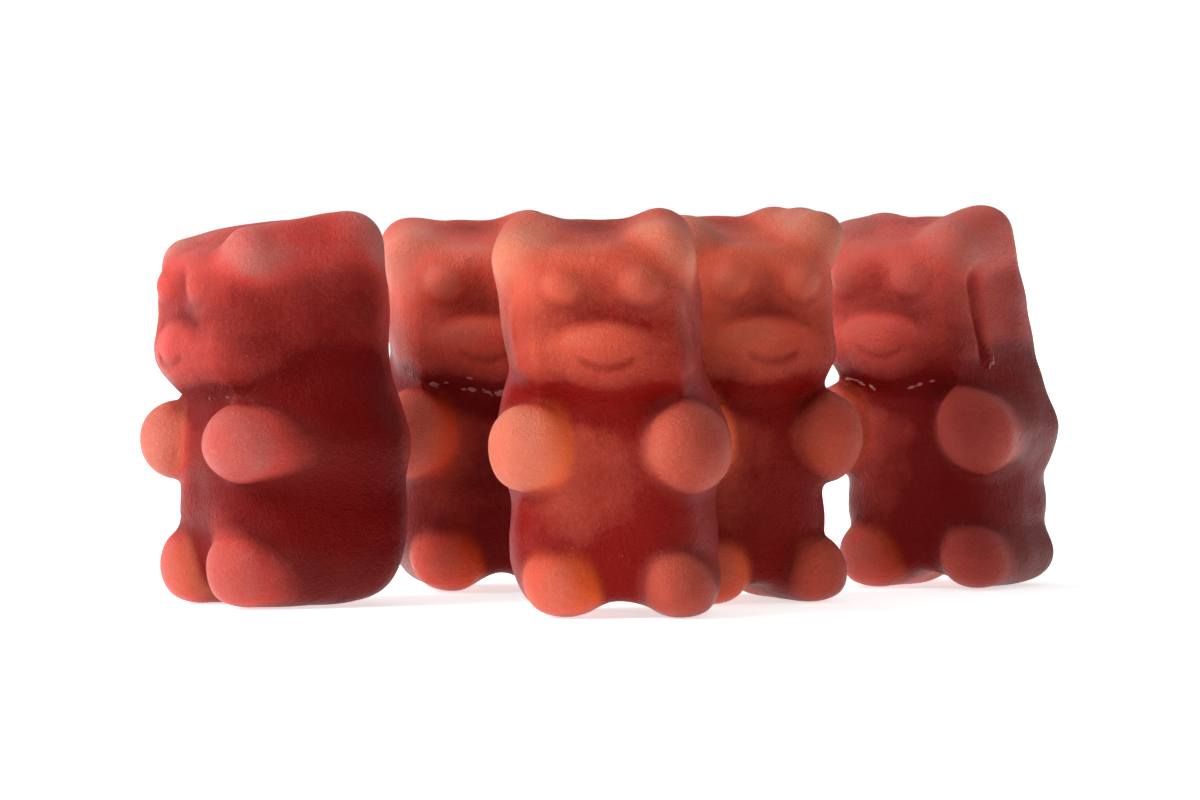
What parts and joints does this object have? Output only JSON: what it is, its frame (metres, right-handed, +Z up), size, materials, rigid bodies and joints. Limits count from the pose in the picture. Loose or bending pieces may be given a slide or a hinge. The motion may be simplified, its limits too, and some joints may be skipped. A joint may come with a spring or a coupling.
{
  "type": "gummy bears",
  "caption": "Loose standing group of moulded fruit jelly sweets, each a small upright bear with a flat back and stubby limbs.",
  "frame": {"origin": "on the table, at the middle of the group's outline seen from above", "axes": "+Z up, +X to the right of someone who faces the front bear, whose face looks along -Y"},
  "size_m": [0.0496, 0.04, 0.021],
  "materials": {
    "jelly_front": "translucent red jelly with a dull, finely wrinkled skin",
    "jelly_left_side": "translucent red jelly with a dull, finely wrinkled skin",
    "jelly_left_back": "translucent red jelly with a dull, finely wrinkled skin",
    "jelly_right_front": "translucent red jelly with a dull, finely wrinkled skin",
    "jelly_right_back": "translucent red jelly with a dull, finely wrinkled skin"
  },
  "bodies": {
    "root": {"bear_front": "jelly_front", "bear_left_side": "jelly_left_side", "bear_left_back": "jelly_left_back", "bear_right_front": "jelly_right_front", "bear_right_back": "jelly_right_back"}
  },
  "joints": []
}
